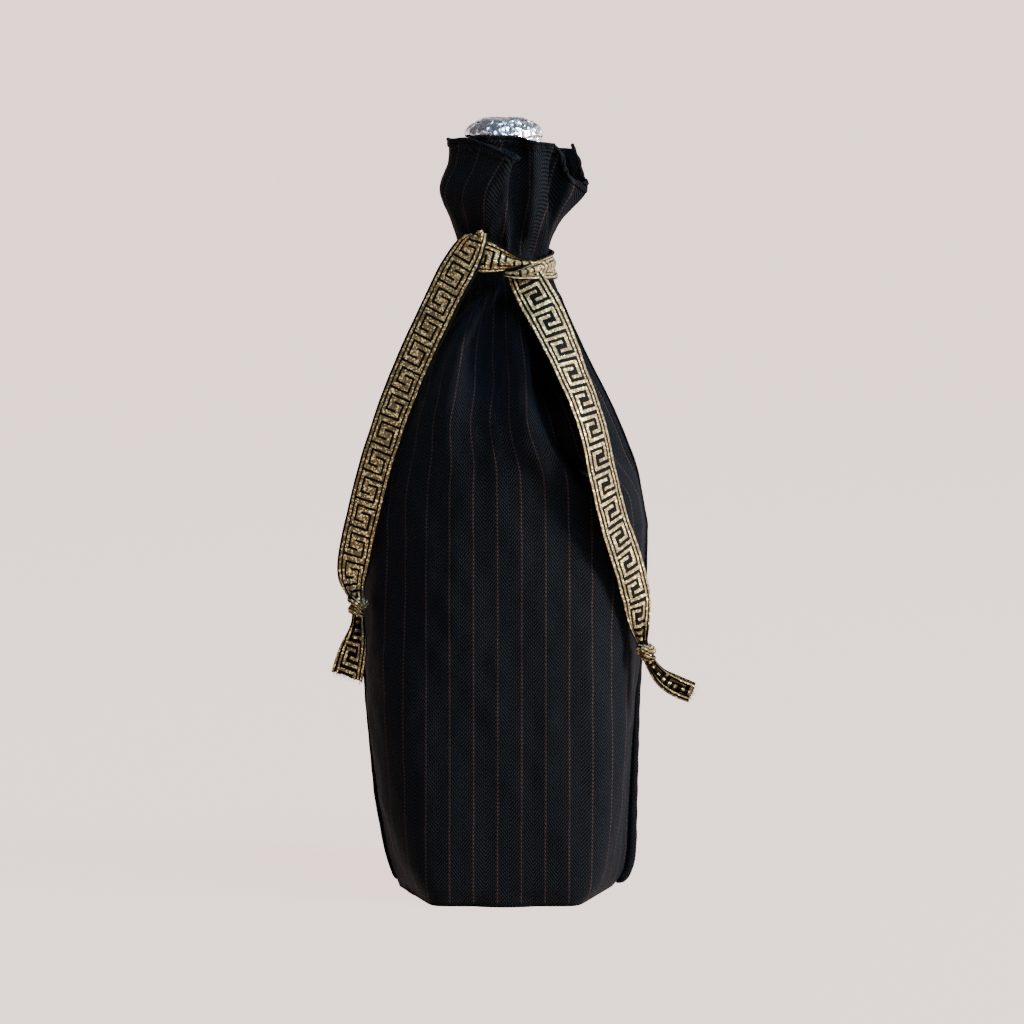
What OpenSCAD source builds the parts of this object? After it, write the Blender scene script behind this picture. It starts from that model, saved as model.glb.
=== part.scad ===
// Wine gift bag: a boxed cloth bag gathered over a bottle and tied at the neck with a woven ribbon.
// Origin: centre of the base on the bottle's axis. The front faces -Y, and z = 0 is the surface it stands on.

/* [Bag] */
// Width of the base
base_w = 82; // [76:1:90]
// Depth of the base
base_d = 74; // [74:1:78]
// Height from the base to the collar's highest rim
bag_h = 293; // [288:1:300]
// Thickness of the doubled suiting cloth
cloth = 0.8; // [0.6:0.1:1.0]
// Number of pleats that the tie gathers
pleats = 14; // [8:1:20]
// Height of the hem that is turned in at the rim
hem_h = 9; // [6:1:12]
// Width of the base seam's allowance inside the bag
base_allowance = 6; // [4:1:8]
// How far the rim of the right wing drops below the rest
rim_drop = 13; // [6:1:16]
// How far the right side seam stands out near the base
seam_fin = 3; // [1.5:0.5:4]

/* [Bottle] */
// Diameter of the bottle's body
bottle_d = 75; // [73:0.5:75.5]
// Diameter of the bottle's neck
neck_d = 28.4; // [27:0.2:29]
// Height of the glass
glass_h = 293; // [290:1:295]
// Wall of the glass
glass_t = 3; // [2:0.5:4]
// Length of the cork inside the neck
cork_l = 42; // [38:1:46]
// Length of the capsule's skirt below the mouth
skirt_l = 34; // [30:1:36]
// Thickness of the foil capsule
foil = 0.35; // [0.3:0.05:0.5]

/* [Ribbon] */
// Width of the ribbon
ribbon_w = 15; // [12:0.5:16]
// Thickness of the ribbon
ribbon_t = 0.8; // [0.6:0.1:1.0]
// Height of the middle of the tie above the base
tie_z = 247; // [244:1:250]
// Length of the barrel of each stopper knot
stopper_l = 8; // [7:0.5:10]
// Radius of each stopper knot
stopper_r = 4.2; // [3.5:0.1:4.4]

/* [Hidden] */
$fn = 96;

navy = [0.10, 0.12, 0.16];
gold = [0.80, 0.72, 0.50];
rust = [0.36, 0.22, 0.18];

gap = 0.1;          // between pieces that lie against each other
lift = 0.35;        // between the cloth and a piece that follows it on a grid of its own
collar_z = 258;     // where the collar starts above the tie
shoulder_z = 184;   // where the bottle's shoulder starts
neck_z = 222;       // where the bottle's neck starts
tie_r = 17.2;       // radius of the gathered cloth under the ribbon
steps = 44;         // columns across each panel
crest = 0.8;        // depth of a pleat at the rim
thread_t = 0.35;    // thickness of the sewing thread
seam_t = 0.6;       // thickness of the base seam's allowance
stand_z = cloth + seam_t + 0.3; // height at which the bottle stands
bore_r = 9.25;      // radius of the straight bore that takes the cork
bore_l = 50;        // depth of that bore
cork_r = 9.2;       // radius of the cork
cork_out = 6.6;     // height of the cork above the glass
lip_h = 8;          // height of the ring at the mouth of the glass
lip_out = 0.5;      // how far that ring stands out of the neck
crown_r = 9.6;      // radius of the capsule where its top meets its shoulder

// Half widths to the left and right, half depth, squareness and corner cut of the bag at each height;
// the cut slants the sides of the foot back from its straight front edge
BODY = [
    [0, base_w / 2, base_w / 2, base_d / 2, 8, 0.0086], [6, 43.5, 43.7, 38.9, 6, 0.0072],
    [15, 46, 46.5, 39.4, 4.4, 0.0045], [35, 49.5, 49.5, 40, 3.4, 0.001], [75, 53.3, 53, 40.5, 2.8, 0],
    [115, 55.5, 55.5, 41, 2.5, 0], [145, 54.8, 55.2, 41, 2.3, 0], [172, 47, 50, 41, 2.2, 0],
    [192, 40, 41.5, 40, 2, 0], [211, 30, 31, 31, 2, 0], [230, 20.5, 22, 21.5, 2, 0],
    [240, tie_r, tie_r, tie_r, 2, 0], [254, tie_r, tie_r, tie_r, 2, 0], [258, 19, 19.6, 18.6, 2, 0],
    [268, 23.9, 27, 20, 2, 0], [275, 25, 31, 20.5, 2, 0], [285, 21.8, 28, 20.5, 2, 0],
    [293, 22.2, 27, 21, 2, 0]];
BODY_LEVELS = [0, 6, 15, 25, 35, 55, 75, 95, 115, 130, 145, 158, 172, 182, 192, 202, 211, 221, 230,
    235, 240, 247, 254];

// Middle line of each tail, from the neck knot to its stopper knot
LEFT_ROUTE = [[-9.5, -24.5, 256], [-14.8, -24.5, 247], [-20, -23.5, 238], [-24.8, -22.5, 229],
    [-33.2, -20.5, 211], [-40.5, -20, 193.5], [-46.5, -20.5, 176], [-49.5, -21, 165],
    [-53.4, -21, 150.5], [-56.3, -20.5, 136], [-57.2, -21, 126], [-56.6, -22, 119.5]];
RIGHT_ROUTE = [[10, -25, 240], [12.9, -26, 235], [15, -27, 229], [19.8, -29, 218], [25.2, -32, 206],
    [30.3, -34, 194], [33.7, -34.5, 182], [37.4, -34, 164], [40.8, -33.5, 148], [45.8, -30.5, 132.5],
    [50, -27.5, 117], [51.4, -26, 108], [52.5, -25, 101.5]];
// Middle line of each tip, from its stopper knot to its cut end
LEFT_TIP = [[-56.3, -22, 109.2], [-57, -22, 104], [-58.4, -22, 96], [-60, -21.5, 87.6]];
RIGHT_TIP = [[57.6, -25.2, 91.8], [61, -25.6, 89], [66, -26, 86], [71.6, -26.5, 82.8]];
// Way each ribbon faces, seen from above
LEFT_FACE = [-0.5, -0.87, 0.1];
RIGHT_FACE = [0.42, -0.9, 0.1];

function lerp(a, b, t) = a + (b - a) * t;
function unit(v) = v / norm(v);
function body(z, column) = lookup(z, [for (row = BODY) [row[0], row[column]]]);
function rim(a) = bag_h - rim_drop * pow(max(0, cos(a)), 6);
function pleat(a, z) = lookup(z, [[205, 0], [230, 0.5], [245, 0.25], [254, 0.25], [290, crest]])
    * cos(pleats * a);

// Distance from the axis to the outside of the bag in direction a at height z
function reach(a, z) = let (n = body(z, 4))
    1 / pow(pow(abs(cos(a)) / body(z, cos(a) < 0 ? 1 : 2) + abs(sin(a)) * body(z, 5), n)
        + pow(abs(sin(a)) / body(z, 3), n), 1 / n) + pleat(a, z);

// Point of the cloth: levels up to collar_z are heights, and above it they run in step with the rim
function level_z(a, v) = v <= collar_z ? v
    : lerp(collar_z, rim(a), (v - collar_z) / (bag_h - collar_z));
function skin_point(a, v, inset) = let (z = level_z(a, v), r = reach(a, z) - inset)
    [r * cos(a), r * sin(a), z];

// Closed solid between two grids of the same size, the first one outside
module slab(outer, inner) {
    rows = len(outer);
    cols = len(outer[0]);
    function at(side, i, j) = (side * rows + i) * cols + j;
    quads = concat(
        [for (i = [0:rows - 2]) for (j = [0:cols - 2])
            [at(0, i, j), at(0, i + 1, j), at(0, i + 1, j + 1), at(0, i, j + 1)]],
        [for (i = [0:rows - 2]) for (j = [0:cols - 2])
            [at(1, i, j), at(1, i, j + 1), at(1, i + 1, j + 1), at(1, i + 1, j)]],
        [for (i = [0:rows - 2]) [at(0, i, 0), at(1, i, 0), at(1, i + 1, 0), at(0, i + 1, 0)]],
        [for (i = [0:rows - 2]) let (j = cols - 1)
            [at(0, i, j), at(0, i + 1, j), at(1, i + 1, j), at(1, i, j)]],
        [for (j = [0:cols - 2]) [at(0, 0, j), at(0, 0, j + 1), at(1, 0, j + 1), at(1, 0, j)]],
        [for (j = [0:cols - 2]) let (i = rows - 1)
            [at(0, i, j), at(1, i, j), at(1, i, j + 1), at(0, i, j + 1)]]);
    tris = [for (q = quads) each [[q[0], q[1], q[2]], [q[0], q[2], q[3]]]];
    polyhedron([for (grid = [outer, inner]) for (row = grid) each row], tris, convexity = 10);
}

// Piece of cloth on the bag between two directions, through the given levels
module cloth_band(from, to, columns, levels, outset, thick) {
    function grid(inset) = [for (v = levels) [for (i = [0:columns])
        skin_point(lerp(from, to, i / columns), v, inset)]];
    slab(grid(-outset), grid(thick - outset));
}

// Ribbon swept along a route, with a width for each of its points
module strip(route, face, widths) {
    last = len(route) - 1;
    function along(i) = unit(route[min(i + 1, last)] - route[max(i - 1, 0)]);
    function across(i) = unit(cross(along(i), face));
    function out(i) = unit(cross(across(i), along(i)));
    function edge(i, side, up) = route[i] + across(i) * side * widths[i] / 2 + out(i) * up;
    slab([for (i = [0:last]) [edge(i, -1, ribbon_t), edge(i, 1, ribbon_t)]],
        [for (i = [0:last]) [edge(i, -1, 0), edge(i, 1, 0)]]);
}

// Ribbon wound on the neck between two directions and two heights
module wound_strip(from, to, z_from, z_to, r, width) {
    n = 14;
    function edge(i, side, up) = let (t = i / n, a = lerp(from, to, t))
        [(r + up) * cos(a), (r + up) * sin(a), lerp(z_from, z_to, t) + side * width / 2];
    slab([for (i = [0:n]) [edge(i, 1, ribbon_t), edge(i, -1, ribbon_t)]],
        [for (i = [0:n]) [edge(i, 1, 0), edge(i, -1, 0)]]);
}

// Barrel with rounded ends, lying along the line between two points
module barrel(from, to, r) {
    dir = to - from;
    len = norm(dir);
    bend = 2;
    translate(from)
        rotate([0, acos(dir[2] / len), atan2(dir[1], dir[0])])
            rotate_extrude($fn = 48)
                polygon([[0, 0], [r - bend, 0], for (a = [15:15:90])
                    [r - bend + bend * sin(a), bend - bend * cos(a)], for (a = [0:15:75])
                    [r - bend + bend * cos(a), len - bend + bend * sin(a)], [r - bend, len], [0, len]]);
}

module panel(from, to) {
    levels = concat(BODY_LEVELS, [for (i = [0:7]) lerp(collar_z, bag_h, i / 7)]);
    color(navy) cloth_band(from, to, steps, levels, 0, cloth);
}

module front_panel() { panel(-180, 0); }
module back_panel() { panel(0, 180); }

// Outline of the base, drawn in from the foot of the panels
module base_outline(inset) {
    polygon([for (a = [0:3:357]) let (r = reach(a, 0) - inset) [r * cos(a), r * sin(a)]]);
}

module base_panel() {
    color(navy) linear_extrude(cloth) base_outline(cloth + gap);
}

// Allowance of the base seam, lying flat on the base inside the foot of the panels
module base_seam() {
    color(navy) translate([0, 0, cloth]) linear_extrude(seam_t) difference() {
        base_outline(cloth + gap);
        base_outline(cloth + gap + base_allowance);
    }
}

// Side seam allowance that stands out from the edge where the panels meet; side is -1 or 1
module side_fin(side, fins) {
    thick = 1.6;
    column = side < 0 ? 1 : 2;
    a = side < 0 ? 180 : 0;
    function edge(z, out) = [side * (reach(a, z) + out), z];
    for (fin = fins)
        rotate([90, 0, 0]) linear_extrude(thick, center = true)
            polygon(concat([for (p = fin) edge(p[0], lift)],
                [for (i = [len(fin) - 1:-1:0]) edge(fin[i][0], lift + fin[i][1])]));
}

module left_side_seam() {
    color(navy) side_fin(-1, [[[2, 1], [15, 1.2], [35, 1], [75, 0.9], [115, 0.8], [145, 0.8], [172, 0.8],
        [192, 0.8], [211, 0.8], [228, 0.7]], [[262, 0.8], [268, 0.8], [275, 0.8], [285, 0.8]]]);
}

module right_side_seam() {
    color(navy) side_fin(1, [[[4, seam_fin - 1], [7, seam_fin], [15, seam_fin + 1], [35, seam_fin - 0.5],
        [75, 0.9], [115, 0.8], [145, 0.8], [172, 0.8], [192, 0.8], [211, 0.8], [228, 0.7]],
        [[262, 0.8], [268, 0.8], [274, 0.8]]]);
}

// Hem: the rim of each panel turned in against its inside
module hem(from, to) {
    levels = [for (i = [0:3]) lerp(bag_h - hem_h, bag_h - 0.4, i / 3)];
    color(navy) cloth_band(from, to, steps, levels, -cloth - lift, 0.4);
}

module front_hem() { hem(-178, -2); }
module back_hem() { hem(2, 178); }

// Line of stitching that holds the hem, drawn as one thin thread on the outside of each panel
module hem_thread() {
    z = bag_h - hem_h + 1.5;
    color(rust) for (from = [-176, 4]) cloth_band(from, from + 172, steps, [z, z + 0.6],
        thread_t + lift, thread_t);
}

// Thread of a side seam, a thin line on the panel beside the fin
module seam_thread(a) {
    levels = [for (z = BODY_LEVELS) if (z >= 7 && z <= 221) z];
    color(rust) cloth_band(a, a + 0.8, 1, levels, thread_t + lift, thread_t);
}

module left_seam_thread() { seam_thread(-176.4); }
module right_seam_thread() { seam_thread(-4.4); }

// Single turn of ribbon that draws the neck together
module neck_wrap() {
    r = tie_r + 0.25 + 4 * gap;
    color(gold) translate([0, 0, tie_z - ribbon_w / 2]) difference() {
        cylinder(h = ribbon_w, r = r + ribbon_t);
        translate([0, 0, -1]) cylinder(h = ribbon_w + 2, r = r);
    }
}

// Half knot: one band crosses the front going down to the right, and the other crosses over it
module knot_under_band() {
    color(gold) wound_strip(-140, -62, tie_z + 3, tie_z - 2, tie_r + 1.8, 0.8 * ribbon_w);
}

module knot_over_band() {
    color(gold) wound_strip(-52, -116, tie_z - 2, tie_z + 4.5, tie_r + 3.2, 0.72 * ribbon_w);
}

// Tails: full width on the bag, drawn in where they leave a knot
module left_tail() {
    n = len(LEFT_ROUTE);
    color(gold) strip(LEFT_ROUTE, LEFT_FACE,
        [for (i = [0:n - 1]) ribbon_w * (i == n - 1 ? 0.4 : i == n - 2 ? 0.8 : 1)]);
}

module right_tail() {
    n = len(RIGHT_ROUTE);
    color(gold) strip(RIGHT_ROUTE, RIGHT_FACE,
        [for (i = [0:n - 1]) ribbon_w * (i == 0 ? 0.6 : i == n - 1 ? 0.35 : i == n - 2 ? 0.7 : 1)]);
}

// Stopper knots: the end of each tail is knotted on itself
module left_stopper_knot() {
    color(gold) barrel([-56.6, -22.3, 118.9], [-56.3, -22.3, 118.9 - stopper_l], stopper_r);
}

module right_stopper_knot() {
    color(gold) barrel([52.9, -25.2, 100.8], [56.8, -25.2, 100.8 - 0.87 * stopper_l], stopper_r);
}

// Tips: the short cut ends below the stopper knots, opening out again to the ribbon's width
module left_tip() {
    color(gold) strip(LEFT_TIP, LEFT_FACE, ribbon_w * [0.3, 0.5, 0.85, 1]);
}

module right_tip() {
    color(gold) strip(RIGHT_TIP, RIGHT_FACE, ribbon_w * [0.3, 0.5, 0.75, 0.9]);
}

// Bottle: profile of the outside from the foot to the lip, as radius and height
function shoulder(t) = lerp(bottle_d / 2, neck_d / 2, t * t * (3 - 2 * t));
function bottle_side(inset) = concat(
    [for (a = [0:22.5:90]) [bottle_d / 2 - 5 + (5 - inset / 2) * sin(a) - inset / 2,
        stand_z + 5 - (5 - inset) * cos(a)]],
    [for (i = [0:10]) [shoulder(i / 10) - inset, lerp(shoulder_z, neck_z, i / 10)]]);

module bottle_glass() {
    punt_r = 24;
    punt_h = 18;
    inner = neck_d / 2 - glass_t;
    color([0.12, 0.2, 0.12]) difference() {
        rotate_extrude() polygon(concat([[0, stand_z]], bottle_side(0),
            [[neck_d / 2, glass_h - lip_h], [neck_d / 2 + lip_out, glass_h - lip_h + lip_out],
            [neck_d / 2 + lip_out, glass_h - 1], [neck_d / 2 - lip_out, glass_h], [0, glass_h]]));
        rotate_extrude() polygon(concat([[0, stand_z + punt_h + glass_t],
            [punt_r, stand_z + glass_t + 1]], bottle_side(glass_t),
            [[inner, neck_z + 10], [bore_r, glass_h - bore_l], [0, glass_h - bore_l]]));
        translate([0, 0, glass_h - bore_l - 1]) cylinder(h = bore_l + 10, r = bore_r);
        translate([0, 0, stand_z - 1]) cylinder(h = punt_h, r1 = punt_r, r2 = 4);
    }
}

module cork() {
    color([0.72, 0.55, 0.38]) translate([0, 0, glass_h - cork_l]) cylinder(h = cork_l + cork_out, r = cork_r);
}

// Foil capsule: a skirt down the neck and a disc over the cork, joined by a sloping shoulder
module capsule_skirt() {
    r = neck_d / 2 + lip_out + gap;
    top = glass_h + gap;
    color("silver") rotate_extrude() polygon([[r, glass_h - skirt_l], [r + foil, glass_h - skirt_l],
        [r + foil, top + 2], [crown_r, top + cork_out + 0.6], [crown_r - foil, top + cork_out + 0.3],
        [crown_r - foil, top + cork_out], [r - 0.5, top + 1.5], [r, top + 1]]);
}

module capsule_disc() {
    color("silver") translate([0, 0, glass_h + cork_out + gap]) cylinder(h = 0.4, r = crown_r - 0.5);
}

front_panel();
back_panel();
base_panel();
base_seam();
left_side_seam();
right_side_seam();
front_hem();
back_hem();
hem_thread();
left_seam_thread();
right_seam_thread();
neck_wrap();
knot_under_band();
knot_over_band();
left_tail();
left_stopper_knot();
left_tip();
right_tail();
right_stopper_knot();
right_tip();
bottle_glass();
cork();
capsule_skirt();
capsule_disc();
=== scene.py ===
"""Wine gift bag: gathered suiting bag with a bottle inside, tied with a Greek key ribbon.

Lengths are millimetres in the tables and functions below, and become metres when a mesh is made.
Only the lamps and the camera are placed in metres.
-Y is the front, +X the viewer's right, +Z up, and the origin is the middle of the base.
"""
import math

import bpy
import numpy as np
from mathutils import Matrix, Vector


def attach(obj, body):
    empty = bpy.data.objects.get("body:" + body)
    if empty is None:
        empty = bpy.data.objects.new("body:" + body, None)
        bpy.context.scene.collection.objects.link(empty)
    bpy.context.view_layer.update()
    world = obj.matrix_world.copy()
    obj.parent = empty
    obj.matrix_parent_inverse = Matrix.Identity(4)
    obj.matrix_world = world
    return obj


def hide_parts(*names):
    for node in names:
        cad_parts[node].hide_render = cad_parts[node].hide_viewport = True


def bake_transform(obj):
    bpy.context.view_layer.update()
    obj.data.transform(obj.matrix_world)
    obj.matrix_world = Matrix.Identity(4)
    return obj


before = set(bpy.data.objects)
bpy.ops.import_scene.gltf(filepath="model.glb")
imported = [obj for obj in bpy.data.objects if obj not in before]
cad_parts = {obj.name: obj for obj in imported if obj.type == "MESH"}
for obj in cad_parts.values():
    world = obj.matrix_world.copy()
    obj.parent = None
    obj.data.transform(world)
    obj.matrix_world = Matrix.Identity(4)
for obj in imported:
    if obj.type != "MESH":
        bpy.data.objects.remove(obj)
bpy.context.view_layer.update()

MM = 0.001
RNG = np.random.default_rng(7)

# Cloth
CLOTH_T = 0.9
PANEL_W = 150.0
COLUMNS = 210
PANEL_ROWS = (58, 118, 104)  # of the collar, from the tie to the full body, and from there to the foot
SECTION_POINTS = 900
FOLD_POINTS = 700
STRIPE_PITCH = 9.2
COLLAR_FULLNESS = 0.34  # share of the collar's cloth that lies out of sight inside its pleats
STRIPE_OFFSET = -2.6
DOT_PITCH = 1.55
TWILL_LEAN = 1.35
YARN_PITCH = 0.72
HEM_DEPTH, HEM_BULK = 3.4, 0.6
BOTTLE_GAP = 0.5

# Ribbon
RIBBON_W = 15.0
RIBBON_T = 0.5
RIB_PITCH = 0.42
FLOAT_PITCH = 0.95
FACE_SIZE = 0.8
FACE_TILT = 0.1  # how far every part of the ribbon looks upwards

# Sewing thread
THREAD_R = 0.2
STITCH, STITCH_PITCH, STITCH_LIFT = 1.9, 2.8, 0.05
HEM_LINE = 2.9  # distance of the hem's stitches from the rim

FOIL_R = 15.0
RIPPLE_TERMS = 7

# Half widths to the left and right, half depth, squareness and corner cut of the full bag by height
BODY = np.array([
    (0, 41, 42.2, 37, 22, 0.0088), (2.8, 42, 44.6, 37.8, 18, 0.0084), (3.6, 42.3, 45.3, 37.5, 16, 0.0082),
    (5.2, 43, 46.3, 38.6, 14, 0.0078), (8, 44, 47.2, 39, 11, 0.0072), (15, 46, 48.2, 39.4, 7.5, 0.0056),
    (35, 49.4, 48.9, 39.9, 4.6, 0.0026), (75, 53.3, 50.4, 40.5, 3.2, 0.0004), (115, 55.4, 54.0, 41, 2.5, 0),
    (145, 54.8, 54.8, 41, 2.3, 0), (172, 47, 50, 41, 2.2, 0)])

# The right seam is pulled forward by this much at the shoulder. It returns to the side between two heights,
# and the pull fades towards the middle of the bag between two distances from it.
SEAM_FORWARD, SEAM_TURNS, SEAM_REACH = 9.0, (92.0, 152.0), (25.0, 55.0)

# Radius of the bottle by height over its shoulder and neck, then the height and radius of the capsule's skirt
BOTTLE_Z = (184, 190, 196, 203, 210, 216, 222, 240)
BOTTLE_R = (37.5, 35.9, 31.6, 25.9, 19.9, 15.8, 14.2, 14.2)
SKIRT_Z, SKIRT_R = 262, 15.4

# Cloth this far from a panel's middle keeps its place across the bag down to the foot
STEADY = 42.0

# Fold lines of the front panel from the left seam to the right seam. Each line holds its points from the
# collar's rim down to the full body: the rim, three levels of the collar, the tie and five levels below.
LEVEL_Z = (None, 284, 273, 260, 247, 232, 212, 190, 168, 146)
FRONT_FOLDS = {
    "left_seam": [(-21.4, 0, 292.8), (-21.6, 0), (-24.9, 0), (-20.2, 0), (-16.9, 0),
                  (-19.5, 0), (-28.6, 0), (-39, 0), (-47.6, 0), (-54.8, 0)],
    "left_wing": [(-19.6, -8, 292.8), (-20.4, -8), (-22.6, -10), (-17.8, -9.5), (-13.8, -9.8),
                  (-17.2, -8), (-27.6, -8), (-38.3, -9.5), (-46.4, -13), (-52, -14.5)],
    "flap_middle": [(-12, -17, 293.4), (-11.8, -17.8), (-11.5, -19.5), (-8.5, -18.3), (-7.2, -15.4),
                    (-12.8, -14.2), (-25.8, -14), (-36.8, -16.5), (-43.4, -21.5), (-46, -25)],
    "flap_front": [(1.2, -22.2, 288.2), (-0.9, -22.4), (-1.9, -22.2), (-1.0, -20.1), (-1.7, -16.7),
                   (-9.6, -19.0), (-22.8, -20.6), (-35.2, -21.4), (-40, -25.8), (-41.8, -29.4)],
    "flap_edge": [(3.4, -22.6, 287.0), (1.4, -23), (0.4, -22.6), (1.2, -20.4), (0.0, -17.2),
                  (-8.3, -20), (-21.8, -21.4), (-34.6, -22.3), (-39, -26.5), (-40.6, -30.2)],
    "flap_turn": [(4.0, -21.2, 288.2), (2.1, -21.6), (1.1, -21.3), (1.8, -19.3), (0.2, -16.2),
                  (-8.0, -19), (-21.5, -20.6), (-34.2, -22.6), (-38.6, -26.9), (-40, -30.5)],
    "under_flap": [(-12.5, -15.4, 294), (-11, -16.4), (-8, -17.6), (-5, -16.6), (-3.6, -15.0),
                   (-12, -16.6), (-25, -18.2), (-33, -24.5), (-36.5, -28.4), (-38, -32)],
    "left_ridge": [(0.5, -16.8, 294.6), (1.5, -17.6), (2.5, -17.8), (1.5, -16.8), (-0.2, -15.0),
                   (-6.9, -21.4), (-17.6, -27.8), (-23.5, -35), (-25, -36.8), (-25, -37.8)],
    "valley": [(6.6, -17.6, 294.2), (6.8, -17.8), (7.2, -18.2), (6.4, -16.6), (5.2, -14.6),
               (-2.2, -16.6), (-8.0, -22.8), (-7.8, -36.4), (-9.5, -39.2), (-10, -40.5)],
    "right_ridge": [(11.8, -20.2, 292.8), (11.6, -20.6), (11.6, -21), (11.2, -18.6), (9.4, -13.6),
                    (5.6, -22), (3.6, -32), (7, -42), (12, -43.6), (22, -39.8)],
    "centre_edge": [(17.6, -18, 292.0), (16.6, -18.2), (16.4, -18.4), (16, -15.8), (13.4, -11.2),
                    (10.6, -19.8), (9.3, -31.6), (12.6, -41.8), (23, -43.4), (37.6, -37.4)],
    "centre_turn": [(18, -16.6, 291.8), (17, -16.8), (16.7, -17), (16.2, -14.6), (13, -10.5),
                    (11.1, -18.6), (9.9, -29.6), (13.8, -39.8), (24.2, -40.8), (39, -34.4)],
    "behind_edge": [(15.6, -11, 291.2), (14.8, -11), (13.8, -11), (13.4, -9.8), (11.2, -9),
                    (8.8, -13), (8.6, -17.6), (15.2, -34), (26.8, -30.8), (41.2, -27)],
    "wing_front": [(20.6, -10.6, 289.8), (20.8, -10.4), (19.6, -10.2), (16.6, -9.2), (13.8, -8.4),
                   (14.8, -18.6), (20.6, -26.2), (28, -37), (35.4, -34.4), (44.4, -25.8)],
    "wing_middle": [(24.4, -11.6, 279.6), (25.6, -12, 277.6), (25, -11.6), (18.8, -8.8), (15.8, -6.6),
                    (19.2, -12.2), (27.4, -19.2), (37.4, -25.6), (44.8, -22), (50, -18)],
    "right_seam": [(31.2, -8.4, 275.2), (31.6, -8.2, 274.2), (30.2, -7, 270.6), (21, -4), (17, -2.4),
                   (21.9, -10), (31, -16.5), (42, -21), (50.3, -16), (55, -9)]}

# Half depth of the back at each level, how deep its pleats are there, and the rim's height around the back
BACK_DEPTH = (21, 20.6, 20.4, 19, 17.1, 21.5, 31.5, 40.2, 41.4, 41)
BACK_PLEAT = (0.09, 0.085, 0.08, 0.06, 0.03, 0.09, 0.085, 0.035, 0.02, 0.008)
BACK_RIM = (275.4, 289.8, 288, 289, 291, 293, 294.4, 294, 292.8, 292.2, 291.6, 291.6, 292.8)


# ---------------------------------------------------------------- geometry helpers

def catmull(points, t):
    """Points on a smooth line through points (n, ...), at parameters t from 0 to n - 1."""
    points = np.asarray(points, float)
    last = len(points) - 1
    t = np.atleast_1d(np.asarray(t, float))
    i = np.clip(np.floor(t).astype(int), 0, last - 1)
    f = (t - i).reshape((-1,) + (1,) * (points.ndim - 1))
    a, b = points[i], points[i + 1]
    before = np.where((i > 0).reshape(f.shape), points[np.maximum(i - 1, 0)], 2 * a - b)
    after = np.where((i < last - 1).reshape(f.shape), points[np.minimum(i + 2, last)], 2 * b - a)
    return 0.5 * (2 * a + (b - before) * f + (2 * before - 5 * a + 4 * b - after) * f ** 2
                  + (3 * a - before - 3 * b + after) * f ** 3)


def even(line, count):
    """The same line with count points at equal distances along it."""
    along = distance(line)
    want = np.linspace(0, along[-1], count)
    return np.stack([np.interp(want, along, line[:, k]) for k in range(line.shape[1])], axis=1)


def distance(line):
    """Distance along a line of points at each point."""
    return np.concatenate([[0], np.cumsum(np.linalg.norm(np.diff(line, axis=0), axis=1))])


def unit(v):
    return v / np.maximum(np.linalg.norm(v, axis=-1, keepdims=True), 1e-9)


def ease(t):
    t = np.clip(t, 0, 1)
    return t * t * (3 - 2 * t)


def rise(value, low, high):
    """0 at low and 1 at high, smooth between."""
    return ease((value - low) / (high - low))


def ripple(u, v, wave, seed):
    """Smooth repeatable noise of about -1 to 1, with features about wave millimetres apart."""
    rng = np.random.default_rng(seed)
    total = np.zeros_like(u, dtype=float)
    for _ in range(RIPPLE_TERMS):
        angle, size, phase = rng.uniform(0, math.tau), rng.uniform(0.7, 1.5), rng.uniform(0, math.tau)
        total += np.sin((u * math.cos(angle) + v * math.sin(angle)) * math.tau / (wave * size) + phase)
    return total / math.sqrt(RIPPLE_TERMS) / 1.2


def make_mesh(name, verts, faces, materials, uv=None, slots=None, smooth=True):
    """Object from vertices in millimetres. uv holds one pair for each vertex."""
    mesh = bpy.data.meshes.new(name)
    mesh.from_pydata((np.asarray(verts, float) * MM).tolist(), [], [tuple(map(int, f)) for f in faces])
    for material in materials:
        mesh.materials.append(material)
    if slots is not None:
        mesh.polygons.foreach_set("material_index", np.asarray(slots, dtype=np.int32))
    mesh.polygons.foreach_set("use_smooth", np.full(len(mesh.polygons), smooth))
    if uv is not None:
        loops = np.empty(len(mesh.loops), dtype=np.int32)
        mesh.loops.foreach_get("vertex_index", loops)
        layer = mesh.uv_layers.new(name="weave")
        layer.data.foreach_set("uv", np.asarray(uv, float)[loops].astype(np.float32).ravel())
    mesh.update()
    obj = bpy.data.objects.new(name, mesh)
    bpy.context.scene.collection.objects.link(obj)
    return obj


def grid_faces(rows, cols, offset, flip=False):
    i, j = np.meshgrid(np.arange(rows - 1), np.arange(cols - 1), indexing="ij")
    a = (offset + i * cols + j).ravel()
    quads = np.stack([a, a + 1, a + cols + 1, a + cols], axis=1)
    return quads[:, ::-1] if flip else quads


def inward_normals(grid):
    return unit(np.cross(np.gradient(grid, axis=1), np.gradient(grid, axis=0)))


def sheet_faces(rows, cols):
    """Faces of a closed sheet: its outer grid, its inner one, and its top, bottom, left and right edges."""
    count = rows * cols
    faces = [grid_faces(rows, cols, 0, True), grid_faces(rows, cols, count)]
    across, down = np.arange(cols), np.arange(rows) * cols
    for edge, flip in ((across, False), (across + count - cols, True),
                       (down, True), (down + cols - 1, False)):
        a, b = edge[:-1], edge[1:]
        quads = np.stack([a, b, b + count, a + count], axis=1)
        faces.append(quads[:, ::-1] if flip else quads)
    return faces


def shell(name, grid, uv, thick, materials):
    """Closed sheet: an outer grid (rows from the top down, columns left to right seen from outside)."""
    inner = grid + inward_normals(grid) * thick
    verts = np.concatenate([grid.reshape(-1, 3), inner.reshape(-1, 3)])
    both = np.concatenate([uv.reshape(-1, 2), uv.reshape(-1, 2)])
    return make_mesh(name, verts, np.concatenate(sheet_faces(*grid.shape[:2])), materials, both)


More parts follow.
